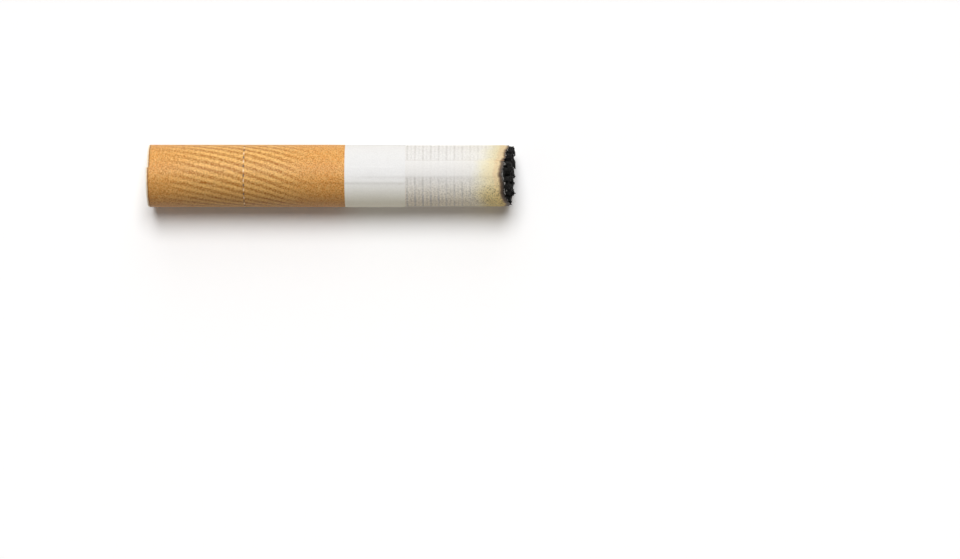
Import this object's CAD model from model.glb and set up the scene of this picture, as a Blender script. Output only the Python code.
"""Looks of a cigarette butt, built round its CAD frame: printed tipping paper over a fibre filter,
ribbed white paper burnt back to a dark curled rim, and a crumpled mass of charred tobacco.

X runs from the mouth end to the burnt end and Z is up, in metres. Angles go round the butt from
its top towards +Y. Lengths along the butt are counted from the mouth end.
"""

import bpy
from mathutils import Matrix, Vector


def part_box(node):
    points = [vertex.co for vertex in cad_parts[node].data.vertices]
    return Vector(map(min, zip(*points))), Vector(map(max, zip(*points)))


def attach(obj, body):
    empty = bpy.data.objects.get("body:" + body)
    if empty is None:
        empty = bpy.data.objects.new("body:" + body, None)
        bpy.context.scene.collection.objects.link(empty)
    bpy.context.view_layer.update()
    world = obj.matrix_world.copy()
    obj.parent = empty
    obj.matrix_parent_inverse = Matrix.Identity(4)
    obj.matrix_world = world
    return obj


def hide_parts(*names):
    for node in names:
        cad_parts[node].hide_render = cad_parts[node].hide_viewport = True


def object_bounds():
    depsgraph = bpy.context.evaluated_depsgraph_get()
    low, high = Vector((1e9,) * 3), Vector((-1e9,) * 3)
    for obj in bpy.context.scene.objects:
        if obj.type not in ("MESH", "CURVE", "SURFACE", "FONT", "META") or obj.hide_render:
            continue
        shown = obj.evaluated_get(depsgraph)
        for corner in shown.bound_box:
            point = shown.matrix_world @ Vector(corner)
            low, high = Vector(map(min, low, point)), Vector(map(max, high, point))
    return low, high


bl_info = {
    "name": "Cigarette Butt",
    "version": (1, 0, 0),
    "blender": (4, 5, 0),
    "location": "3D View > Sidebar > Butt",
    "description": "Dresses a cigarette butt with paper, print, tow and charred tobacco",
    "category": "Object",
}

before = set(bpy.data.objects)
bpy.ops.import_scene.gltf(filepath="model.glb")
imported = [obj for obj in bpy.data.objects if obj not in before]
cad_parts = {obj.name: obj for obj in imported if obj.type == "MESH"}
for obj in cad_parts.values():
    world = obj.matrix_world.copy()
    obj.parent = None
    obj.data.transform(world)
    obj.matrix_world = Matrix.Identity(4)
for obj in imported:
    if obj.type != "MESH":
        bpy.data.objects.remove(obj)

import random
from dataclasses import dataclass
from math import asin, atan2, ceil, cos, exp, hypot, pi, radians, sin, sqrt, tau

import bmesh
import bpy
from bpy.props import FloatProperty, FloatVectorProperty, IntProperty, PointerProperty
from mathutils import Matrix, Vector, noise

CAD_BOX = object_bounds()
BODY = "root"

# The frame's own sizes
TIPPING_LOW, TIPPING_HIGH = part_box("tipping_paper")
MOUTH_X = TIPPING_LOW.x
TIPPING_LENGTH = TIPPING_HIGH.x - TIPPING_LOW.x
FILTER_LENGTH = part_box("filter_plug")[1].x - MOUTH_X
CHAR_REACH = CAD_BOX[1].x - MOUTH_X

# Sheets and cores, as the frame has them
ROD_RADIUS = 0.00388
PAPER_WALL = 0.00005
WRAP_WALL = 0.00005
TIPPING_WALL = 0.00006
GLUE_GAP = 0.000012
PACKING_GAP = 0.00002
JOINT_GAP = 0.0003
REST_FLAT_WIDTH = 0.0016
PAPER_LAP_WIDTH = 0.002
PAPER_LAP_ANGLE = radians(28)
TIPPING_LAP_WIDTH = 0.0018
TIPPING_LAP_ANGLE = radians(14)
WRAP_LAP_WIDTH = 0.0016
WRAP_LAP_ANGLE = radians(-100)
LAP_RISE = 0.0004
LAP_CUT = 0.00003
LAP_SETTLE = 0.00045
MOUTH_RECESS = 0.00022
MOUTH_ASKEW = 0.00014
MOUTH_DISH = 0.00012
SLIT_STATION = 0.0123
SLIT_LENGTH = 0.00044
SLIT_WIDTH = 0.00013
SLIT_COUNT = 20
SLIT_START = radians(-1.2)

# Burnt end, as the frame has it
BURNT_RIM = 0.045
SIDE_RIM_REACH = 0.00075
SIDE_RIM_ANGLE = radians(80)
RIM_RAGGED = 0.0002
RIM_WAVES = 2.5
RIM_TEETH = 11.0
RIM_WARP = 0.00007
SCORCHED_LENGTH = 0.0026
TONGUE_REACH = 0.0004
TONGUE_ANGLE = radians(-70)
TONGUE_WIDTH = radians(9)

# Fineness of the dressed sheets, strands and fibres
SECTION_STEP = radians(0.9)
SCORCH_ROWS = 26
STRAND_STEPS = 12
STRAND_SIDES = 8
FIBRE_STEPS = 10
FIBRE_WAYS = [tau * k / 5 for k in range(5)]
FIBRE_RADIUS = 0.000013
TOW_STEP = radians(1.6)
TOW_ROWS = 46

# Flecks of ash: how many lie in the two rows on the rim, where, and how large flecks are
ROW_FLECKS = 14
FLECK_ROWS = ((-0.15, 0.05), (-0.74, -0.5))
FLECK_SIZES = ((0.00007, 0.00015), (0.00014, 0.0004), (0.00006, 0.00012))

# Sizes that follow
TIPPING_RADIUS = ROD_RADIUS + GLUE_GAP + TIPPING_WALL
AXIS_HEIGHT = sqrt(TIPPING_RADIUS**2 - (REST_FLAT_WIDTH / 2) ** 2)
CORE_RADIUS = ROD_RADIUS - PAPER_WALL - PACKING_GAP
PLUG_RADIUS = ROD_RADIUS - WRAP_WALL - GLUE_GAP
ROD_START = FILTER_LENGTH + JOINT_GAP

# Millimetres in a metre
MM = 1000.0

# The camera's place, from the mouth end and from the axis
CAMERA_ALONG = 0.04213
CAMERA_ACROSS = -0.01318

# Colours of marks and dirt on the tipping paper
PRINT_HOLLOW = (0.48, 0.165, 0.022)
PRINT_DOT = (1.0, 0.66, 0.27)
PRINT_SALT = (1.0, 0.66, 0.24)
PRINT_PIT = (0.42, 0.13, 0.018)
SLIT_RAISED = (1.0, 0.86, 0.62)
SLIT_BURR = (0.27, 0.1, 0.025)
WHITE_BELOW = (0.86, 0.86, 0.75)
MOUTH_LINE = (0.3, 0.12, 0.03)
HANDLING_DIRT = (0.42, 0.33, 0.22)

# Colours of marks and dirt on the cigarette paper
SHEET_BELOW = (0.86, 0.82, 0.72)
PAPER_MOTE = (0.4, 0.37, 0.32)
LAP_SHADE = (0.5, 0.46, 0.4)
OLIVE = (0.73, 0.58, 0.21)
SINGED_TONGUE = (0.36, 0.17, 0.085)
SOOT = (0.12, 0.09, 0.06)
SINGED_SEAM = (0.5, 0.24, 0.09)
LIP_STREAK = (0.17, 0.12, 0.085)
RIM_ASH = (0.5, 0.48, 0.45)

# Colours of the char, the ash and the plug wrap
CHAR_CRACK = (0.004, 0.004, 0.004)
ASH_SHADE = (0.2, 0.19, 0.18)
WRAP_PAPER = (0.85, 0.83, 0.78)
WRAP_STAIN = (0.74, 0.62, 0.42)
SLIT_DARK = (0.1, 0.045, 0.018)

# Where the print and the heat change along the butt, in millimetres from the mouth end
STRIPES_START = (0.5, 7.5)
STRIPES_END = (22.5, 15.5)
YELLOWING = (37.5, 43.0)
FIRST_RIB = TIPPING_LENGTH * MM + 0.26
FINE_RIB_PITCH = 0.26

# The same in millimetres from the burnt rim: where a change starts, and where it is full
CREAM_HEAT = (4.3, 2.3)
STRAW_HEAT = (3.1, 1.5)
TAN_HEAT = (1.4, 0.9)
BROWN_HEAT = (0.7, 0.46)
SCORCH_HEAT = (0.5, 0.32)
LIP_HEAT = (0.28, 0.06)

# Angles at which a side of the butt starts and is full, from the top towards +Y
PRINT_BELOW = (0.05, -1.1)
PAPER_BELOW = (0.05, -0.9)
ABOVE = (0.42, 0.6)
BRIGHT_BELOW = (0.3, -0.25)

# How white the floor looks to the camera, past its lit white, and the glow that fills its shadows
FLOOR_SEEN = (1.06, 1.07, 1.085)
FLOOR_GLOW = 0.045


# Sizes and colours that a user would change


def length_property(name, description, default, least=0.0):
    return FloatProperty(
        name=name,
        description=description,
        default=default,
        min=least,
        precision=5,
        subtype="DISTANCE",
        unit="LENGTH",
    )


def share_property(name, description, default):
    return FloatProperty(name=name, description=description, default=default, min=0, subtype="FACTOR")


def colour_property(name, place, default):
    words = f"Colour of {place}"
    return FloatVectorProperty(
        name=name, description=words, default=default, size=3, min=0, max=1, subtype="COLOR"
    )


class TippingLook(bpy.types.PropertyGroup):
    """The printed sheet round the filter."""

    cork_length: length_property("Cork length", "Length of the cork-coloured print", 0.025)
    ground: colour_property("Ground", "the plain cork", (0.77, 0.34, 0.08))
    light_line: colour_property("Light line", "the light stripes", (0.93, 0.545, 0.17))
    dark_line: colour_property("Dark line", "the gaps between the stripes", (0.5, 0.185, 0.035))
    white_end: colour_property("White end", "the unprinted end", (0.828, 0.835, 0.837))
    cut_paper: colour_property("Cut paper", "the paper's bare edge", (0.93, 0.8, 0.6))
    line_count: IntProperty(
        name="Line count", description="Stripes round the sheet", default=28, min=1
    )
    line_slope: FloatProperty(
        name="Line slope", description="Tilt of the stripes at the mouth end", default=0.175
    )
    line_bend: FloatProperty(
        name="Line bend", description="Growth of the tilt for each millimetre", default=0.0125
    )


class PaperLook(bpy.types.PropertyGroup):
    """The ribbed paper and how it is burnt."""

    sheet: colour_property("Sheet", "the clean paper", (0.81, 0.807, 0.797))
    rib: colour_property("Rib", "the pressed ribs", (0.61, 0.6, 0.58))
    cream: colour_property("Cream", "lightly heated paper", (0.85, 0.81, 0.64))
    straw: colour_property("Straw", "yellowed paper", (0.84, 0.745, 0.49))
    tan: colour_property("Tan", "browned paper", (0.81, 0.645, 0.39))
    brown: colour_property("Brown", "the scorched band", (0.42, 0.3, 0.175))
    scorched: colour_property("Scorched", "the singed edge", (0.115, 0.075, 0.045))
    lip: colour_property("Lip", "the charred rim", (0.032, 0.023, 0.017))
    rib_pitch: length_property("Rib pitch", "Distance between the pressed ribs", 0.000995, 0.0001)
    curl: length_property("Curl", "How far the charred rim curls", 0.00006)


class CharLook(bpy.types.PropertyGroup):
    """The charred tobacco."""

    char: colour_property("Char", "the charred tobacco", (0.006, 0.0055, 0.005))
    sheen: colour_property("Sheen", "the crumpled ridges", (0.035, 0.032, 0.028))
    ash: colour_property("Ash", "the ash", (0.45, 0.44, 0.42))
    crease: length_property("Crease", "Depth of the creases", 0.00011)
    flake: length_property("Flake", "Width of the cracked flakes", 0.00032, 0.00005)
    strand_count: IntProperty(
        name="Strand count", description="Loose charred strands", default=96, min=0
    )
    fleck_count: IntProperty(name="Fleck count", description="Flecks of ash", default=46, min=0)


class TowLook(bpy.types.PropertyGroup):
    """The filter at the mouth end."""

    tow: colour_property("Tow", "clean fibre", (0.95, 0.87, 0.71))
    stain: colour_property("Stain", "the smoke stain", (0.8, 0.52, 0.22))
    tuft: length_property("Tuft", "Height of the fibre ends", 0.00009)
    fibre_count: IntProperty(
        name="Fibre count", description="Loose fibres at the mouth", default=70, min=0
    )


class StageLook(bpy.types.PropertyGroup):
    """Floor, light and camera."""

    floor: colour_property("Floor", "the floor", (0.9, 0.85, 0.77))
    key_level: share_property("Key level", "Light from the large lamp overhead", 0.775)
    side_level: share_property("Side level", "Light from the lower lamp behind", 0.16)
    fill: colour_property("Fill", "the light from all round", (1.0, 0.85, 0.71))
    fill_level: share_property("Fill level", "Light from all round", 0.12)
    camera_height: length_property("Camera height", "Camera above the butt's axis", 0.44)
    lens: FloatProperty(
        name="Lens", description="Focal length", default=129.8, min=1, unit="CAMERA"
    )


class ButtLooks(bpy.types.PropertyGroup):
    """Everything that can be set on the butt."""

    tipping: PointerProperty(type=TippingLook)
    paper: PointerProperty(type=PaperLook)
    char: PointerProperty(type=CharLook)
    tow: PointerProperty(type=TowLook)
    stage: PointerProperty(type=StageLook)


# Materials


@dataclass(frozen=True)
class Value:
    """A number that a node gives, for sums and products with plain numbers and other values."""

    mat: "Finish"
    socket: bpy.types.NodeSocket

    def __add__(self, other):
        return self.mat.math("ADD", self, other)

    def __sub__(self, other):
        return self.mat.math("SUBTRACT", self, other)

    def __rsub__(self, other):
        return self.mat.math("SUBTRACT", other, self)

    def __mul__(self, other):
        return self.mat.math("MULTIPLY", self, other)

    def __abs__(self):
        return self.mat.math("ABSOLUTE", self)

    __radd__ = __add__
    __rmul__ = __mul__

    def ramp(self, low, high):
        """Smooth share of the way from low to high."""
        made = self.mat.node("ShaderNodeMapRange", interpolation_type="SMOOTHSTEP")
        self.mat.fill(made, Value=self, From_Min=low, From_Max=high)
        return Value(self.mat, made.outputs["Result"])


class Finish:
    """One material, and short words for its nodes."""

    def __init__(self, name):
        self.material = bpy.data.materials.new(name)
        self.material.use_nodes = True
        self.tree = self.material.node_tree
        self.shader = self.tree.nodes["Principled BSDF"]
        self.place = self.node("ShaderNodeTexCoord").outputs["Object"]

    def node(self, kind, **settings):
        made = self.tree.nodes.new(kind)
        for name, value in settings.items():
            setattr(made, name, value)
        return made

    def feed(self, socket, value):
        if isinstance(value, Value):
            value = value.socket
        if isinstance(value, bpy.types.NodeSocket):
            self.tree.links.new(value, socket)
        else:
            socket.default_value = value

    def fill(self, node, **values):
        """Put values on a node, by its socket names with _ for a space."""
        for name, value in values.items():
            self.feed(node.inputs[name.replace("_", " ")], value)

    def set(self, **values):
        self.fill(self.shader, **values)

    def math(self, operation, *values):
        made = self.node("ShaderNodeMath", operation=operation)
        for socket, value in zip(made.inputs, values):
            self.feed(socket, value)
        return Value(self, made.outputs[0])

    def stretched(self, *factors):
        """Object coordinates, stretched along each axis."""
        made = self.node("ShaderNodeMapping")
        self.fill(made, Vector=self.place, Scale=factors)
        return made.outputs["Vector"]

    def noise(self, size, place=None, detail=3.0, roughness=0.55, distortion=0.0):
        made = self.node("ShaderNodeTexNoise")
        self.fill(made, Vector=place or self.place, Scale=1 / size)
        self.fill(made, Detail=detail, Roughness=roughness, Distortion=distortion)
        return Value(self, made.outputs[0])

    def cells(self, size, feature="F1", place=None):
        made = self.node("ShaderNodeTexVoronoi", feature=feature)
        self.fill(made, Vector=place or self.place, Scale=1 / size)
        return Value(self, made.outputs["Distance"])

    def mix(self, share, one, other):
        made = self.node("ShaderNodeMix", data_type="RGBA", clamp_factor=True)
        self.feed(made.inputs[0], share)
        self.feed(made.inputs[6], as_colour(one))
        self.feed(made.inputs[7], as_colour(other))
        return made.outputs[2]

    def coat(self, base, *layers):
        """The base with coats on it: each a colour, and shares whose product says how far it covers."""
        for colour, share, *more in layers:
            for factor in more:
                share = share * factor
            base = self.mix(share, base, colour)
        return base

    def tint(self, colour, level):
        """The colour, multiplied by a level."""
        made = self.node("ShaderNodeVectorMath", operation="SCALE")
        self.feed(made.inputs[0], colour)
        self.feed(made.inputs["Scale"], level)
        return made.outputs[0]

    def bump(self, height, depth, under=None):
        made = self.node("ShaderNodeBump")
        self.fill(made, Height=height, Distance=depth)
        if under is not None:
            self.fill(made, Normal=under)
        return made.outputs[0]

    def attribute(self, name):
        made = self.node("ShaderNodeAttribute", attribute_name=name)
        return Value(self, made.outputs["Fac"])

    def parts_of_place(self):
        made = self.node("ShaderNodeSeparateXYZ")
        self.feed(made.inputs[0], self.place)
        return [Value(self, part) for part in made.outputs]

    def along(self):
        """Millimetres from the mouth end."""
        return (self.parts_of_place()[0] - MOUTH_X) * MM

    def turn(self):
        """Angle round the axis, from the top towards +Y."""
        _, across, height = self.parts_of_place()
        return self.math("ARCTAN2", across, height - AXIS_HEIGHT)

    def off_axis(self):
        """Millimetres from the axis."""
        _, across, height = self.parts_of_place()
        up = height - AXIS_HEIGHT
        square = across * across + up * up
        return self.math("SQRT", square) * MM


def as_colour(value):
    return value if isinstance(value, bpy.types.NodeSocket) else (*value, 1)


def tipping_finish(look):
    """Cork print of fine tilted stripes, with a pale cut edge at its mouth, and a bare white end."""
    mat = Finish("tipping_print")
    along, turn = mat.along(), mat.turn()
    low_side = turn.ramp(*PRINT_BELOW)
    grain = mat.noise(0.0002, detail=2, roughness=0.7)
    sand = grain.ramp(0.4, 0.6)
    salt = mat.noise(0.00017, detail=1, roughness=0.7).ramp(0.42, 0.58)
    fibre = mat.noise(0.0004, place=mat.stretched(0.5, 1.6, 1.6), detail=4)

    radius = TIPPING_RADIUS * MM
    pitch = tau * radius / look.line_count
    crest = 0.27 + 0.08 / pitch
    tilt = along * (look.line_slope + look.line_bend / 2 * along)
    wander = mat.noise(0.003, detail=1) * 0.16
    phase = turn * radius + tilt + wander
    wave = mat.math("COSINE", phase * (tau / pitch) - tau * crest)
    fray = (grain - 0.5) * 1.1
    line = (wave + fray).ramp(-0.75, 0.75)
    frayed = along + fray * 1.5
    starting = frayed.ramp(*STRIPES_START)
    ending = frayed.ramp(*STRIPES_END)
    lined = mat.mix(line, look.dark_line, look.light_line)
    cork = mat.coat(look.ground, (lined, starting, ending))

    cork = mat.tint(cork, 0.92 + 0.16 * mat.noise(0.0011, detail=3))
    pits = mat.cells(0.00035, place=mat.stretched(1.0, 1.1, 0.9))
    cork = mat.coat(
        mat.tint(cork, 1.16),
        (PRINT_HOLLOW, 0.56 - 0.56 * sand),
        (PRINT_DOT, mat.cells(0.00034).ramp(0.4, 0.16), sand, 0.6),
        (PRINT_PIT, pits.ramp(0.32, 0.12), 0.42),
    )
    cork = mat.coat(mat.tint(cork, 0.85), (PRINT_SALT, salt, 0.4))
    cork = mat.tint(cork, 1 - 0.2 * low_side)

    beat = mat.math("COSINE", (turn - SLIT_START) * SLIT_COUNT)
    off_ring = abs(along - SLIT_STATION * MM)
    cork = mat.coat(
        cork,
        (SLIT_RAISED, off_ring.ramp(0.1, 0.04), beat.ramp(-0.25, -0.8), 0.65),
        (SLIT_BURR, off_ring.ramp(0.15, 0.07), beat.ramp(0.3, 0.7), 0.65),
    )

    white = mat.coat(look.white_end, (WHITE_BELOW, low_side, 0.8))
    white = mat.tint(white, 0.965 + 0.05 * fibre)
    white = mat.tint(white, 0.983 + 0.035 * salt)
    white = mat.tint(white, 1 + 0.11 * turn.ramp(*BRIGHT_BELOW))
    print_end = look.cork_length * MM + 0.05 * mat.noise(0.00008, detail=1)
    face = mat.coat(white, (cork, (along - print_end).ramp(0.03, -0.01)))

    from_mouth = mat.attribute("from_mouth") + 0.14 * grain
    dirt = mat.noise(0.0016, detail=5, roughness=0.65)
    face = mat.coat(
        face,
        (MOUTH_LINE, from_mouth.ramp(0.46, 0.34), 0.75),
        (look.cut_paper, from_mouth.ramp(0.28, 0.2)),
        (HANDLING_DIRT, dirt.ramp(0.6, 0.78), 0.1),
    )

    mat.set(Base_Color=face, Specular_IOR_Level=0.22)
    mat.set(Roughness=0.42 + 0.2 * grain)
    wavy = mat.bump(mat.noise(0.0026, detail=1), 0.00006)
    mat.set(Normal=mat.bump(fibre, 0.000012, mat.bump(grain, 0.000009, wavy)))
    return mat.material


def paper_finish(look):
    """Ribbed paper, whiter where it lies double, browned and then charred towards its rim."""
    mat = Finish("ribbed_paper")
    along, turn = mat.along(), mat.turn()
    from_rim = mat.attribute("from_rim")
    double = mat.attribute("double_ply")
    lap_edge = mat.attribute("lap_edge")
    single = 1 - 0.85 * double
    low_side = turn.ramp(*PAPER_BELOW)
    top_side = turn.ramp(*ABOVE)
    speck = mat.noise(0.00018, detail=3, roughness=0.7)
    cloud = mat.noise(0.0014, detail=3)
    streak = mat.noise(0.00022, place=mat.stretched(0.35, 1.4, 1.4), detail=4, roughness=0.7)

    beat = (along - FIRST_RIB) * (tau / (look.rib_pitch * MM))
    near_rib = mat.math("COSINE", beat)
    main_rib = near_rib.ramp(0.45, 1.0)
    half_rib = near_rib.ramp(-0.6, -1.0) * 0.4
    ribs = mat.math("MAXIMUM", main_rib, half_rib) * single
    uneven = mat.noise(0.0011, place=mat.stretched(0.35, 1, 1), detail=3)
    grainy = uneven.ramp(0.3, 0.66) * (0.1 + 1.2 * speck)
    inked = (0.2 + 0.8 * grainy) * (1 + 0.45 * low_side)
    mote = mat.cells(0.00036, place=mat.stretched(1.2, 0.9, 1))
    mote = mote.ramp(0.42, 0.18) * speck.ramp(0.36, 0.6)
    sheet = mat.coat(
        look.sheet,
        (SHEET_BELOW, low_side),
        (look.rib, ribs, inked),
        (PAPER_MOTE, mote, single, 0.22 + 0.4 * low_side),
    )
    sheet = mat.coat(
        mat.tint(sheet, 0.985 + 0.035 * double),
        (LAP_SHADE, lap_edge, 0.3),
        (look.cream, along.ramp(*YELLOWING), 0.2 + 0.28 * low_side),
    )

    ruffle = (cloud - 0.5) * 1.3 + (speck - 0.5) * 0.5
    tilt = 0.55 * top_side - 0.4 * low_side
    heat = from_rim + tilt + ruffle
    close = from_rim + 0.42 * ruffle - 0.2 * low_side + 0.15 * top_side
    edge = from_rim + 0.17 * ruffle - 0.07 * low_side + 0.22 * top_side

    burnt = mat.coat(
        sheet,
        (look.cream, heat.ramp(*CREAM_HEAT)),
        (look.straw, heat.ramp(*STRAW_HEAT)),
        (look.tan, close.ramp(*TAN_HEAT)),
        (OLIVE, low_side, from_rim.ramp(4.6, 2.0), 0.65),
    )
    baked = top_side * from_rim.ramp(3.2, 1.6)
    burnt = mat.tint(burnt, 1 - 0.11 * baked)
    burnt_low = low_side * from_rim.ramp(6.5, 2.5)
    rough = 0.04 + (0.08 + 0.22 * low_side) * single + 0.12 * burnt_low
    pepper = speck.ramp(0.55, 0.43)
    burnt = mat.tint(burnt, 1 + rough * (0.6 - pepper))

    on_tongue = abs(turn - TONGUE_ANGLE).ramp(0.2, 0.1)
    blot = mat.noise(0.0005, detail=3).ramp(0.38, 0.56)
    soot = mat.cells(0.0003).ramp(0.44, 0.2) * speck.ramp(0.36, 0.56) * blot
    sooty = from_rim.ramp(6.5, 2.0) * (0.2 + 0.75 * low_side)
    on_lip = close.ramp(0.5, 0.2)
    ash_turn = turn.ramp(0.09, 0.03) + turn.ramp(-0.42, -0.5)
    past_ash = turn.ramp(-0.18, -0.24) + turn.ramp(-0.74, -0.8)
    ash_reach = 0.1 + 0.2 * (ash_turn - past_ash)
    burnt = mat.coat(
        burnt,
        (look.brown, edge.ramp(*BROWN_HEAT)),
        (look.scorched, edge.ramp(*SCORCH_HEAT)),
        (look.lip, edge.ramp(*LIP_HEAT)),
        (SINGED_TONGUE, on_tongue, from_rim.ramp(0.1, -0.2), 0.8),
        (SOOT, soot, sooty),
        (SINGED_SEAM, lap_edge, from_rim.ramp(1.7, 0.8), 0.6),
        (LIP_STREAK, streak.ramp(0.52, 0.72), on_lip, 0.45),
        (RIM_ASH, from_rim.ramp(ash_reach, 0.03), streak.ramp(0.56, 0.64)),
        (look.lip, mat.attribute("inner_face"), from_rim.ramp(2.4, 1.2)),
    )

    mat.set(Base_Color=burnt)
    mat.set(Roughness=0.78 - 0.25 * on_lip)
    relief = mat.bump(ribs, 0.000016, mat.bump(cloud, 0.00003))
    fine_rib = mat.math("SINE", along * (tau / FINE_RIB_PITCH))
    relief = mat.bump(fine_rib * single, 0.0000018, relief)
    relief = mat.bump(speck, 0.000008, relief)
    mat.set(Normal=mat.bump(streak * on_lip, 0.00005, relief))
    return mat.material


def char_finish(look, name, ash_share, gloss=0.0):
    """Black charred tobacco with grey crumpled ridges and, here and there, a film of ash."""
    mat = Finish(name)
    crumple = mat.noise(0.00035, detail=6, roughness=0.68, distortion=0.4)
    cracks = mat.cells(0.0002, feature="DISTANCE_TO_EDGE")
    ridge = crumple.ramp(0.5, 0.72)
    body = mat.mix(ridge, look.char, look.sheen)
    plate = cracks.ramp(0.0, 0.12)
    body = mat.mix(plate, CHAR_CRACK, body)
    film = mat.noise(0.0011, detail=5, roughness=0.7)
    dust = film.ramp(0.74 - ash_share, 0.9 - ash_share)
    powder = mat.noise(0.00009, detail=2).ramp(0.4, 0.6)
    body = mat.coat(body, (look.ash, dust, plate, 0.25 + 0.6 * powder))
    mat.set(Base_Color=body, Specular_IOR_Level=0.3)
    mat.set(Roughness=0.82 - gloss - 0.45 * crumple)
    relief = mat.bump(crumple, 0.00009)
    mat.set(Normal=mat.bump(plate, 0.00002, relief))
    return mat.material


def ash_finish(look):
    mat = Finish("ash")
    powder = mat.noise(0.00009, detail=5, roughness=0.7)
    cloud = mat.noise(0.0005, detail=3)
    body = mat.mix(cloud.ramp(0.3, 0.55), ASH_SHADE, look.ash)
    body = mat.tint(body, 0.65 + 0.7 * powder)
    mat.set(Base_Color=body, Roughness=0.95)
    mat.set(Normal=mat.bump(powder, 0.00003))
    return mat.material


def tow_finish(look):
    """Cut ends of crimped fibre, stained by smoke towards the middle."""
    mat = Finish("filter_tow")
    ends = mat.cells(0.00004)
    along_tow = mat.stretched(0.4, 1, 1)
    crimp = mat.noise(0.00025, place=along_tow, detail=4, roughness=0.65, distortion=0.6)
    blotch = mat.noise(0.0014, detail=4, roughness=0.6)
    middle = mat.off_axis() + (blotch - 0.5) * 3.2
    body = mat.coat(look.tow, (look.stain, middle.ramp(3.7, 1.3), 0.8))
    body = mat.tint(body, 0.75 + 0.5 * crimp)
    pits = ends.ramp(0.25, 0.6)
    body = mat.tint(body, 1.05 - 0.25 * pits)
    mat.set(Base_Color=body, Roughness=0.85)
    relief = mat.bump(crimp, 0.00008)
    mat.set(Normal=mat.bump(ends, 0.00002, relief))
    return mat.material


def wrap_finish():
    """Thin porous paper, faintly stained."""
    mat = Finish("plug_wrap")
    fibre = mat.noise(0.0003, place=mat.stretched(0.6, 1.4, 1.4), detail=5)
    stain = mat.noise(0.0013, detail=3).ramp(0.45, 0.75)
    body = mat.coat(WRAP_PAPER, (WRAP_STAIN, stain, 0.4))
    body = mat.tint(body, 0.92 + 0.14 * fibre)
    off_ring = abs(mat.along() - SLIT_STATION * MM)
    body = mat.coat(body, (SLIT_DARK, off_ring.ramp(0.5, 0.1), 0.85))
    mat.set(Base_Color=body, Roughness=0.8)
    mat.set(Normal=mat.bump(fibre, 0.00001))
    return mat.material


# Sections round the axis


@dataclass(frozen=True)
class Lap:
    """A glued lap: the sheet climbs over its own start, lies double, and ends at a cut edge."""

    edge: float
    width: float

    def angles(self):
        start = self.edge - self.width / ROD_RADIUS
        return (start - LAP_RISE / ROD_RADIUS, start, self.edge, self.edge + LAP_CUT / ROD_RADIUS)

    def extra_ply(self, angle, settle=LAP_CUT):
        """Share of a second ply at this angle, from 0 to 1, fading out over settle past the edge."""
        foot, start, edge, _ = self.angles()
        along = foot + (angle - foot) % tau
        if along < start:
            return smooth_step((along - foot) / (start - foot))
        if along <= edge:
            return 1.0
        return 1 - smooth_step((along - edge) * ROD_RADIUS / settle)


PAPER_LAP = Lap(PAPER_LAP_ANGLE, PAPER_LAP_WIDTH)
TIPPING_LAP = Lap(TIPPING_LAP_ANGLE, TIPPING_LAP_WIDTH)
WRAP_LAP = Lap(WRAP_LAP_ANGLE, WRAP_LAP_WIDTH)


def section_angles(step):
    """Angles that the round sections share: the laps' edges, the resting flat, and even steps."""
    flat = asin(REST_FLAT_WIDTH / 2 / TIPPING_RADIUS)
    fixed = [pi - flat, pi + flat]
    for lap in (PAPER_LAP, TIPPING_LAP, WRAP_LAP):
        fixed += lap.angles()
    fixed = sorted(angle % tau for angle in fixed)
    angles = []
    for this, following in zip(fixed, fixed[1:] + [fixed[0] + tau]):
        steps = ceil((following - this) / step)
        angles += [this + (following - this) * i / steps for i in range(steps)]
    return angles


ANGLES = section_angles(SECTION_STEP)


def smooth_step(share):
    share = min(1.0, max(0.0, share))
    return share * share * (3 - 2 * share)


def signed(angle):
    """The same angle between -180 and 180 degrees."""
    return (angle + pi) % tau - pi


def on_section(along, angle, radius):
    """A point round the axis, held up by the flat where it would reach past it."""
    seat = AXIS_HEIGHT - (TIPPING_RADIUS - radius)
    height = max(radius * cos(angle), -seat)
    return Vector((MOUTH_X + along, radius * sin(angle), AXIS_HEIGHT + height))


def angle_of(point):
    return atan2(point.y, point.z - AXIS_HEIGHT)


def section(along, radius, angles=None):
    """Points of one ring. Both values are numbers or functions of the angle."""
    at = along if callable(along) else lambda angle: along
    out = radius if callable(radius) else lambda angle: radius
    return [on_section(at(angle), angle, out(angle)) for angle in angles or ANGLES]


def new_ring(bm, points):
    circle = bmesh.ops.create_circle(bm, cap_ends=False, segments=len(points), radius=1.0)
    for vertex, point in zip(circle["verts"], points):
        vertex.co = point
    return circle["verts"]


def ring_edges(bm, ring):
    return [bm.edges.get((ring[i - 1], ring[i])) for i in range(len(ring))]


def grow_ring(bm, ring, points):
    """Extrude a ring's edges and set the new ring on these points."""
    grown = bmesh.ops.extrude_edge_only(bm, edges=ring_edges(bm, ring))
    fresh = {item for item in grown["geom"] if isinstance(item, bmesh.types.BMVert)}
    copies = []
    for vertex, point in zip(ring, points):
        ends = [edge.other_vert(vertex) for edge in vertex.link_edges]
        copy = next(end for end in ends if end in fresh)
        copy.co = point
        copies.append(copy)
    return copies


def face_outwards(bm):
    bmesh.ops.recalc_face_normals(bm, faces=bm.faces)
    if bm.calc_volume(signed=True) < 0:
        bmesh.ops.reverse_faces(bm, faces=bm.faces)


def loft(sections, close_round=False, into=None):
    """Skin a row of sections: a capped body, or a tube wall if the last meets the first."""
    bm = into or bmesh.new()
    first = last = new_ring(bm, sections[0])
    for points in sections[1:]:
        last = grow_ring(bm, last, points)
    if close_round:
        bmesh.ops.bridge_loops(bm, edges=ring_edges(bm, first) + ring_edges(bm, last))
    else:
        for ring in (first, last):
            bmesh.ops.contextual_create(bm, geom=ring_edges(bm, ring))
    return bm


def mesh_of(name, bm):
    mesh = bpy.data.meshes.new(name)
    bm.to_mesh(mesh)
    bm.free()
    return mesh


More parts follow.
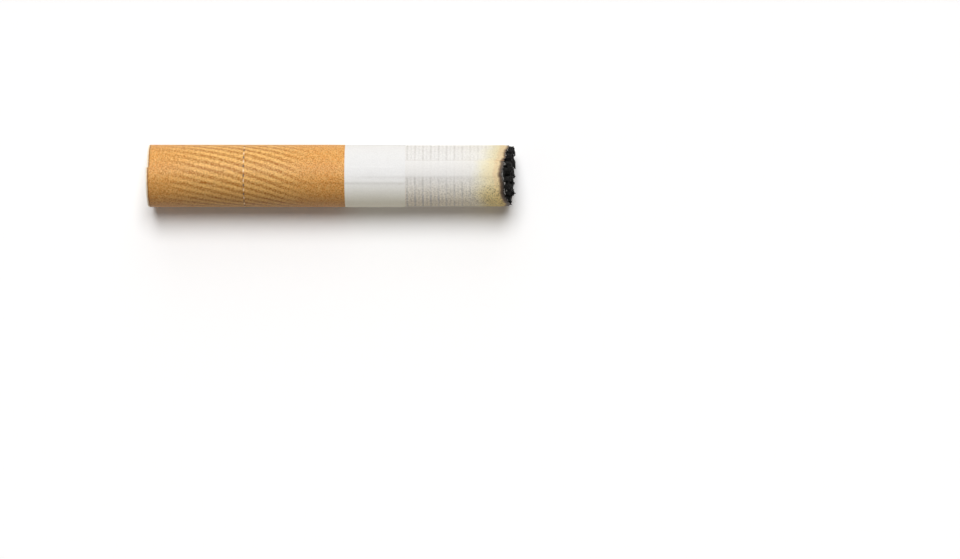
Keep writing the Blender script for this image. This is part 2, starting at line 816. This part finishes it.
def place_object(name, data):
    placed = bpy.data.objects.new(name, data)
    bpy.context.scene.collection.objects.link(placed)
    return placed


def add_piece(name, bm, finish, node, sharp=radians(40)):
    """A finished piece that rides on the butt and stands for a node of the frame, if one is named."""
    face_outwards(bm)
    mesh = mesh_of(name, bm)
    mesh.materials.append(finish)
    mesh.shade_smooth()
    mesh.set_sharp_from_angle(angle=sharp)
    piece = place_object(name, mesh)
    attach(piece, BODY)
    if node:
        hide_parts(node)
    return piece


def paint_attribute(piece, name, value_at):
    """A value on each point of the mesh, for the material to read."""
    mesh = piece.data
    values = [value_at(vertex.co) for vertex in mesh.vertices]
    mesh.attributes.new(name, "FLOAT", "POINT").data.foreach_set("value", values)


def wandering_path(start, heading, bend, length, climbs):
    """Points of a path that bends across the butt and climbs along it, one step for each climb."""
    path = [start]
    for i, climb in enumerate(climbs):
        turn = heading + bend * i / len(climbs)
        step = Vector((climb, cos(turn), sin(turn)))
        path.append(path[-1] + step * length / len(climbs))
    return path


def path_frames(path):
    """Each point of a path, with the ways ahead, sideways and over."""
    for i, point in enumerate(path):
        ahead = (path[min(i + 1, len(path) - 1)] - path[max(i - 1, 0)]).normalized()
        side = ahead.cross(Vector((1, 0, 0))).normalized()
        yield point, ahead, side, side.cross(ahead).normalized()


def wrap_outside(angle, settle=LAP_CUT):
    return ROD_RADIUS + WRAP_WALL * WRAP_LAP.extra_ply(angle, settle)


def paper_outside(angle, settle=LAP_CUT):
    return ROD_RADIUS + PAPER_WALL * PAPER_LAP.extra_ply(angle, settle)


def mouth_edge(angle):
    """The mouth end of the tipping paper, cut a little askew, so its lap shows a step."""
    turned = (TIPPING_LAP.edge - angle) % tau / tau
    return MOUTH_ASKEW * turned


def ragged(angle, seed, fineness):
    """Smooth noise from -1 to 1 that closes on itself round the rim."""
    at = Vector((cos(angle), sin(angle), 0)) * fineness
    return noise.noise(at + Vector((0, 0, seed)))


def burnt_rim(angle):
    """Where the paper ends: burnt back furthest on top, ragged, with one curled tongue."""
    turn = signed(angle)
    side = SIDE_RIM_REACH * smooth_step(abs(turn) / SIDE_RIM_ANGLE)
    tongue = TONGUE_REACH * exp(-(((turn - TONGUE_ANGLE) / TONGUE_WIDTH) ** 2))
    waves = ragged(angle, seed=3.1, fineness=RIM_WAVES)
    teeth = ragged(angle, seed=8.7, fineness=RIM_TEETH)
    return BURNT_RIM + side + tongue + RIM_RAGGED * (waves + 0.6 * teeth)


def crumbled_rim(angle):
    """The same rim with the small bites and crumbs of charred paper."""
    bites = max(0.0, ragged(angle, seed=1.9, fineness=26) - 0.12)
    crumbs = ragged(angle, seed=6.4, fineness=70)
    return burnt_rim(angle) - 0.00042 * bites + 0.00004 * crumbs


def rim_lift(angle):
    """How far the scorched rim stands off the rod, fading out over the underside."""
    upper = (1 + cos(angle)) / 2
    return RIM_WARP * upper * (0.5 + ragged(angle, seed=5.3, fineness=RIM_WAVES))


# Operators, one for each piece or group of like pieces


class BUTT_OT_wrap_tipping(bpy.types.Operator):
    """Wrap the printed tipping paper and cut its ring of slits"""

    bl_idname = "butt.wrap_tipping"
    bl_label = "Wrap Tipping Paper"

    def execute(self, context):
        look = context.scene.butt_looks.tipping
        sheet = self.sheet(tipping_finish(look))
        self.cut_slits(sheet)
        paint_attribute(sheet, "from_mouth", self.from_mouth)
        return {"FINISHED"}

    def sheet(self, finish):
        def inside(share):
            def radius(angle):
                filter_side = wrap_outside(angle, LAP_SETTLE)
                rod_side = paper_outside(angle, LAP_SETTLE)
                return filter_side * (1 - share) + rod_side * share + GLUE_GAP

            return radius

        def outside(share):
            def radius(angle):
                return inside(share)(angle) + TIPPING_WALL * (1 + TIPPING_LAP.extra_ply(angle))

            return radius

        def frayed_mouth(angle):
            return mouth_edge(angle) + 0.000012 * ragged(angle, seed=2.2, fineness=40)

        def mouth_plus(distance):
            return lambda angle: frayed_mouth(angle) + distance

        slit_rows = [SLIT_STATION + shift for shift in (-0.0004, 0, 0.0004)]
        plain_rows = [0.003, 0.006, 0.009, *slit_rows, 0.016, 0.02, 0.024]
        stations = [(mouth_plus(0.00002), 0), (mouth_plus(0.0002), 0)]
        stations += [(along, 0) for along in plain_rows]
        stations += [(FILTER_LENGTH, 0), (ROD_START, 1), (TIPPING_LENGTH - 0.00002, 1)]
        walls = [section(frayed_mouth, lambda angle: outside(0)(angle) - 0.00002)]
        walls += [section(along, outside(share)) for along, share in stations]
        walls.append(section(TIPPING_LENGTH, lambda angle: outside(1)(angle) - 0.00002))
        bare = [(TIPPING_LENGTH, 1), (ROD_START, 1), (FILTER_LENGTH, 0), (frayed_mouth, 0)]
        walls += [section(along, inside(share)) for along, share in bare]
        bm = loft(walls, close_round=True)
        return add_piece("tipping_sheet", bm, finish, "tipping_paper")

    def cut_slits(self, sheet):
        cutter = self.slit_cutter()
        cut = sheet.modifiers.new("slits", "BOOLEAN")
        cut.operation = "DIFFERENCE"
        cut.solver = "EXACT"
        cut.object = cutter
        view = bpy.context.evaluated_depsgraph_get()
        cut_mesh = bpy.data.meshes.new_from_object(sheet.evaluated_get(view))
        sheet.modifiers.clear()
        sheet.data = cut_mesh
        cut_mesh.name = sheet.name
        bpy.data.objects.remove(cutter)

    def slit_cutter(self):
        """Thin lens-shaped blocks through the sheet, no two quite alike."""
        rng = random.Random(5)
        bm = bmesh.new()
        for i in range(SLIT_COUNT):
            block = bmesh.ops.create_cone(
                bm, cap_ends=True, segments=10, radius1=0.5, radius2=0.5, depth=1.0
            )["verts"]
            width = SLIT_WIDTH * rng.uniform(0.8, 1.25)
            length = SLIT_LENGTH * rng.uniform(0.85, 1.1)
            bmesh.ops.scale(bm, vec=(width, length, 8 * TIPPING_WALL), verts=block)
            at = (SLIT_STATION + rng.uniform(-0.00002, 0.00002), 0, TIPPING_RADIUS)
            bmesh.ops.translate(bm, vec=at, verts=block)
            turn = SLIT_START + tau * i / SLIT_COUNT + rng.uniform(-0.006, 0.006)
            spin = Matrix.Rotation(-turn, 3, "X")
            bmesh.ops.rotate(bm, cent=(0, 0, 0), matrix=spin, verts=block)
        bmesh.ops.translate(bm, vec=(MOUTH_X, 0, AXIS_HEIGHT), verts=bm.verts)
        return place_object("slit_cutter", mesh_of("slit_cutter", bm))

    def from_mouth(self, point):
        """Millimetres from the sheet's mouth end, cut askew as it is."""
        return (point.x - MOUTH_X - mouth_edge(angle_of(point))) * MM


class BUTT_OT_wrap_plug(bpy.types.Operator):
    """Finish the thin wrap of the filter"""

    bl_idname = "butt.wrap_plug"
    bl_label = "Wrap Filter Plug"

    def execute(self, context):
        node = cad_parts["plug_wrap"]
        node.data.materials.clear()
        node.data.materials.append(wrap_finish())
        return {"FINISHED"}


class BUTT_OT_roll_paper(bpy.types.Operator):
    """Roll the ribbed paper, with its lap seam and its charred, curled rim"""

    bl_idname = "butt.roll_paper"
    bl_label = "Roll Cigarette Paper"

    def execute(self, context):
        look = context.scene.butt_looks.paper
        scorch_start = BURNT_RIM - SCORCHED_LENGTH
        inner = ROD_RADIUS - PAPER_WALL

        def scorched(share):
            return lambda angle: scorch_start + (crumbled_rim(angle) - scorch_start) * share

        def curled(share, angle):
            """Stand-off of the scorched paper: lifted, buckled, and its last bit turned inwards."""
            lift = rim_lift(angle) * share**2
            last = smooth_step((share - 0.8) / 0.2)
            at = Vector((share * 5, cos(angle) * 9, sin(angle) * 9))
            buckle = noise.noise(at) * smooth_step((share - 0.6) / 0.4)
            return lift + look.curl * (0.8 * buckle - 0.5 * last)

        def outer_wall(share):
            return lambda angle: paper_outside(angle) + curled(share, angle)

        def inner_wall(share):
            return lambda angle: inner + curled(share, angle)

        shares = [i / SCORCH_ROWS for i in range(SCORCH_ROWS + 1)]
        plain = [ROD_START, 0.03, 0.033, 0.036, 0.039, 0.0405]
        walls = [section(along, paper_outside) for along in plain]
        walls += [section(scorched(share), outer_wall(share)) for share in shares]
        walls += [section(scorched(share), inner_wall(share)) for share in reversed(shares)]
        walls.append(section(ROD_START, inner))
        bm = loft(walls, close_round=True)
        paper = add_piece("rolled_paper", bm, paper_finish(look), "cigarette_paper")
        edge = PAPER_LAP.edge

        def from_rim(point):
            return (burnt_rim(angle_of(point)) - (point.x - MOUTH_X)) * MM

        def inner_face(point):
            radius = hypot(point.y, point.z - AXIS_HEIGHT)
            angle = angle_of(point)
            share = smooth_step((point.x - MOUTH_X - scorch_start) / SCORCHED_LENGTH)
            middle = (inner + paper_outside(angle)) / 2 + curled(share, angle)
            return 1.0 if radius < min(middle, ROD_RADIUS - PAPER_WALL / 4) else 0.0

        paint_attribute(paper, "from_rim", from_rim)
        paint_attribute(paper, "double_ply", lambda point: PAPER_LAP.extra_ply(angle_of(point)))
        paint_attribute(paper, "lap_edge", lambda point: float(abs(angle_of(point) - edge) < 0.012))
        paint_attribute(paper, "inner_face", inner_face)
        return {"FINISHED"}


class BUTT_OT_char_tobacco(bpy.types.Operator):
    """Crumple and crack the charred tobacco of the burnt end"""

    bl_idname = "butt.char_tobacco"
    bl_label = "Char Tobacco"

    def execute(self, context):
        look = context.scene.butt_looks.char
        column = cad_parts["tobacco_column"]
        column.data.materials.clear()
        column.data.materials.append(char_finish(look, "charred_core", 0.06))
        finish = char_finish(look, "char", 0.1)
        for node in sorted(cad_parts):
            if node.startswith("charred_shred"):
                bm = self.merged_copy(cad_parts[node])
                self.crumple(bm, look)
                add_piece(f"{node}_crumpled", bm, finish, node, radians(75))
        return {"FINISHED"}

    def merged_copy(self, part):
        bm = bmesh.new()
        bm.from_mesh(part.data)
        bmesh.ops.remove_doubles(bm, verts=bm.verts, dist=1e-7)
        return bm

    def crumple(self, bm, look):
        for _ in range(3):
            bmesh.ops.subdivide_edges(bm, edges=bm.edges, cuts=1, use_grid_fill=True)
            bmesh.ops.smooth_vert(
                bm, verts=bm.verts, factor=0.35, use_axis_x=True, use_axis_y=True, use_axis_z=True
            )
        bm.normal_update()
        moves = []
        for vertex in bm.verts:
            at = vertex.co
            near, further = noise.voronoi(at / look.flake)[0][:2]
            crack = 1 - smooth_step((further - near) / 0.28)
            fold = abs(noise.noise(at / 0.0005 + Vector((7, 0, 0)))) ** 0.6
            rough = noise.fractal(at / 0.00022, 0.9, 2.1, 3)
            depth = look.crease * (0.75 * crack + 0.9 * (1 - fold) - 0.55 + 0.45 * rough)
            moves.append(-vertex.normal * depth)
        for vertex, move in zip(bm.verts, moves):
            vertex.co += move


class BUTT_OT_strew_strands(bpy.types.Operator):
    """Strew thin charred strands and flecks of ash through the burnt end"""

    bl_idname = "butt.strew_strands"
    bl_label = "Strew Strands and Ash"

    def execute(self, context):
        look = context.scene.butt_looks.char
        rng = random.Random(41)
        strands = bmesh.new()
        for _ in range(look.strand_count):
            self.strand(strands, rng)
        finish = char_finish(look, "char_strand", 0.12, gloss=0.12)
        add_piece("char_strands", strands, finish, None, radians(60))
        flecks = bmesh.new()
        for i in range(look.fleck_count):
            self.fleck(flecks, rng, i)
        add_piece("ash_flecks", flecks, ash_finish(look), None, radians(60))
        return {"FINISHED"}

    def strand(self, bm, rng):
        """A flat ribbon that wanders through the char, closed at both ends."""
        angle = rng.uniform(-pi, pi)
        out = CORE_RADIUS * sqrt(rng.uniform(0.02, 0.86))
        start = on_section(burnt_rim(angle) + rng.uniform(-0.0001, 0.0006), angle, out)
        heading = rng.uniform(0, tau)
        bend = rng.uniform(-1.8, 1.8)
        lift = rng.uniform(-0.1, 0.35)
        length = rng.uniform(0.0006, 0.0017)
        width = rng.uniform(0.0002, 0.0006)
        thick = rng.uniform(0.00005, 0.00009)
        roll = rng.uniform(-0.7, 0.7)
        climbs = [lift + 0.25 * sin(i * 0.9 + heading) for i in range(STRAND_STEPS)]
        path = wandering_path(start, heading, bend, length, climbs)
        rings = []
        for i, (point, ahead, side, over) in enumerate(path_frames(path)):
            twist = Matrix.Rotation(roll + 0.9 * sin(i * 0.4 + heading), 3, ahead)
            side, over = twist @ side, twist @ over
            size = 0.55 + 0.45 * sin(pi * (i + 0.6) / (STRAND_STEPS + 1.2)) ** 0.5
            ring = []
            for k in range(STRAND_SIDES):
                way = tau * k / STRAND_SIDES
                rough = 1 + 0.35 * noise.noise(point / 0.00018 + Vector((k * 2.3, heading, 0)))
                shift = side * cos(way) * width / 2 + over * sin(way) * thick / 2
                ring.append(self.kept_in(point + shift * size * rough))
            rings.append(ring)
        loft(rings, into=bm)

    def fleck(self, bm, rng, turn):
        """A small thin flake of ash: two rows along the rim, and the rest anywhere in the char."""
        in_row = turn < ROW_FLECKS
        on_rim = in_row or rng.random() < 0.5
        reach = FLECK_ROWS[turn % 2] if in_row else (-pi, pi)
        angle = rng.uniform(*reach)
        out = ROD_RADIUS - 0.00012 if on_rim else CORE_RADIUS * sqrt(rng.uniform(0.05, 0.9))
        past_rim = (-0.00005, 0.0001) if on_rim else (0.0002, 0.0008)
        along = crumbled_rim(angle) + rng.uniform(*past_rim)
        flake = bmesh.ops.create_icosphere(bm, subdivisions=3, radius=0.5)["verts"]
        size = [rng.uniform(least, most) for least, most in FLECK_SIZES]
        bmesh.ops.scale(bm, vec=size, verts=flake)
        for vertex in flake:
            bulge = noise.fractal(vertex.co / 0.00008 + Vector((angle * 9, 0, 0)), 0.8, 2.2, 3)
            vertex.co *= max(0.35, 1 + 0.75 * bulge)
        spin = Matrix.Rotation(-angle, 3, "X") @ Matrix.Rotation(rng.uniform(-0.6, 0.6), 3, "Y")
        bmesh.ops.rotate(bm, cent=(0, 0, 0), matrix=spin, verts=flake)
        bmesh.ops.translate(bm, vec=on_section(along, angle, out), verts=flake)

    def kept_in(self, point):
        """The point, brought back inside the rod and the reach of the char."""
        angle = angle_of(point)
        out = hypot(point.y, point.z - AXIS_HEIGHT)
        limit = ROD_RADIUS - 0.0001
        inside = on_section(point.x - MOUTH_X, angle, min(out, limit))
        inside.x = min(inside.x, MOUTH_X + CHAR_REACH)
        return inside


class BUTT_OT_tease_tow(bpy.types.Operator):
    """Tease out the fibres of the filter at the mouth end"""

    bl_idname = "butt.tease_tow"
    bl_label = "Tease Filter Tow"

    def execute(self, context):
        look = context.scene.butt_looks.tow
        finish = tow_finish(look)
        angles = section_angles(TOW_STEP)

        def tufted(share):
            def along(angle):
                at = Vector((0, sin(angle), cos(angle))) * PLUG_RADIUS * share
                dish = MOUTH_RECESS + MOUTH_DISH * (1 - share**2)
                bundles = noise.fractal(at / 0.00042, 0.8, 2.2, 4)
                near, further = noise.voronoi(at / 0.0006)[0][:2]
                split = 1 - smooth_step((further - near) / 0.3)
                return dish + look.tuft * (0.9 * bundles + 0.8 * split)

            return along

        shares = [(i + 1) / TOW_ROWS for i in range(TOW_ROWS - 1)]
        walls = [section(tufted(share), PLUG_RADIUS * share, angles) for share in shares]
        walls.append(section(MOUTH_RECESS + 0.00004, PLUG_RADIUS, angles))
        walls.append(section(FILTER_LENGTH, PLUG_RADIUS, angles))
        bm = loft(walls)
        add_piece("filter_tow_plug", bm, finish, "filter_plug", radians(70))
        self.loose_fibres(look, finish)
        return {"FINISHED"}

    def loose_fibres(self, look, finish):
        """Single fibres that curl out of the mouth face, inside the sheet's edge."""
        rng = random.Random(11)
        bm = bmesh.new()
        for _ in range(look.fibre_count):
            angle = rng.uniform(-pi, pi)
            out = PLUG_RADIUS * sqrt(rng.uniform(0.0, 0.84))
            root = on_section(MOUTH_RECESS + MOUTH_DISH * 0.6, angle, out)
            heading = rng.uniform(0, tau)
            bend = rng.uniform(-3, 3)
            length = rng.uniform(0.0003, 0.0012)
            climbs = [-0.35 * cos(pi * i / FIBRE_STEPS) for i in range(FIBRE_STEPS)]
            path = wandering_path(root, heading, bend, length, climbs)
            rings = []
            for point, _, side, over in path_frames(path):
                around = (side * cos(way) + over * sin(way) for way in FIBRE_WAYS)
                rings.append([point + way * FIBRE_RADIUS for way in around])
            loft(rings, into=bm)
        add_piece("loose_fibres", bm, finish, None)


class BUTT_OT_set_stage(bpy.types.Operator):
    """Lay the pale floor, and set the soft light and the camera"""

    bl_idname = "butt.set_stage"
    bl_label = "Set Stage"

    def execute(self, context):
        look = context.scene.butt_looks.stage
        context.scene.view_settings.view_transform = "Standard"
        self.lay_floor(look)
        self.hang_lamp("soft_key", look.key_level, radians(25), radians(34))
        self.hang_lamp("soft_side", look.side_level, radians(54), radians(46))
        self.light_all_round(look)
        self.place_camera(look)
        return {"FINISHED"}

    def lay_floor(self, look):
        bm = bmesh.new()
        bmesh.ops.create_grid(bm, x_segments=1, y_segments=1, size=3.0)
        floor = place_object("floor", mesh_of("floor", bm))
        finish = Finish("floor_white")
        finish.set(Roughness=1.0, Specular_IOR_Level=0.0)
        self.whiten_for_camera(finish, look.floor)
        floor.data.materials.append(finish.material)

    def whiten_for_camera(self, finish, floor):
        """White for the eye and in reflections, with a little light of its own; pale for the bounce."""
        rays = finish.node("ShaderNodeLightPath")
        seen = finish.math("MAXIMUM", rays.outputs["Is Camera Ray"], rays.outputs["Is Glossy Ray"])
        seen = finish.math("MAXIMUM", seen, rays.outputs["Is Transmission Ray"])
        finish.set(Base_Color=finish.mix(seen, floor, FLOOR_SEEN))
        finish.set(Emission_Color=(1, 1, 1, 1), Emission_Strength=seen * FLOOR_GLOW)

    def hang_lamp(self, name, level, tilt, spread):
        """A broad even light from overhead, tilted towards +Y. At level 1 white renders as white."""
        lamp = bpy.data.lights.new(name, "SUN")
        lamp.energy = level * pi
        lamp.angle = spread
        hung = place_object(name, lamp)
        hung.rotation_euler = (-tilt, 0, 0)

    def light_all_round(self, look):
        world = bpy.data.worlds.new("studio")
        bpy.context.scene.world = world
        world.use_nodes = True
        tree = world.node_tree
        shade = tree.nodes["Background"]
        rays = tree.nodes.new("ShaderNodeLightPath")
        white = tree.nodes.new("ShaderNodeMix")
        white.data_type = "RGBA"
        tree.links.new(rays.outputs["Is Camera Ray"], white.inputs[0])
        white.inputs[6].default_value = (*(look.fill_level * share for share in look.fill), 1)
        white.inputs[7].default_value = (1, 1, 1, 1)
        tree.links.new(white.outputs[2], shade.inputs["Color"])

    def place_camera(self, look):
        lens = bpy.data.cameras.new("camera")
        lens.lens = look.lens
        lens.clip_start = 0.01
        camera = place_object("camera", lens)
        camera.location = (MOUTH_X + CAMERA_ALONG, CAMERA_ACROSS, AXIS_HEIGHT + look.camera_height)
        bpy.context.scene.camera = camera


class BUTT_PT_looks(bpy.types.Panel):
    """Lists the butt's pieces, with what can be set on each"""

    bl_idname = "BUTT_PT_looks"
    bl_label = "Cigarette Butt"
    bl_space_type = "VIEW_3D"
    bl_region_type = "UI"
    bl_category = "Butt"

    def draw(self, context):
        looks = context.scene.butt_looks
        steps = (
            (looks.tipping, "butt.wrap_tipping"),
            (looks.paper, "butt.roll_paper"),
            (looks.char, "butt.char_tobacco", "butt.strew_strands"),
            (looks.tow, "butt.tease_tow", "butt.wrap_plug"),
            (looks.stage, "butt.set_stage"),
        )
        for group, *operators in steps:
            box = self.layout.box()
            for name in group.bl_rna.properties.keys():
                if name not in ("rna_type", "name"):
                    box.prop(group, name)
            for operator in operators:
                box.operator(operator)


CLASSES = (
    TippingLook,
    PaperLook,
    CharLook,
    TowLook,
    StageLook,
    ButtLooks,
    BUTT_OT_wrap_tipping,
    BUTT_OT_wrap_plug,
    BUTT_OT_roll_paper,
    BUTT_OT_char_tobacco,
    BUTT_OT_strew_strands,
    BUTT_OT_tease_tow,
    BUTT_OT_set_stage,
    BUTT_PT_looks,
)


def register():
    for each in CLASSES:
        bpy.utils.register_class(each)
    bpy.types.Scene.butt_looks = PointerProperty(type=ButtLooks)


def unregister():
    del bpy.types.Scene.butt_looks
    for each in reversed(CLASSES):
        bpy.utils.unregister_class(each)


def main():
    register()
    bpy.ops.butt.set_stage()
    bpy.ops.butt.wrap_tipping()
    bpy.ops.butt.wrap_plug()
    bpy.ops.butt.roll_paper()
    bpy.ops.butt.char_tobacco()
    bpy.ops.butt.strew_strands()
    bpy.ops.butt.tease_tow()


if __name__ == "__main__":
    main()
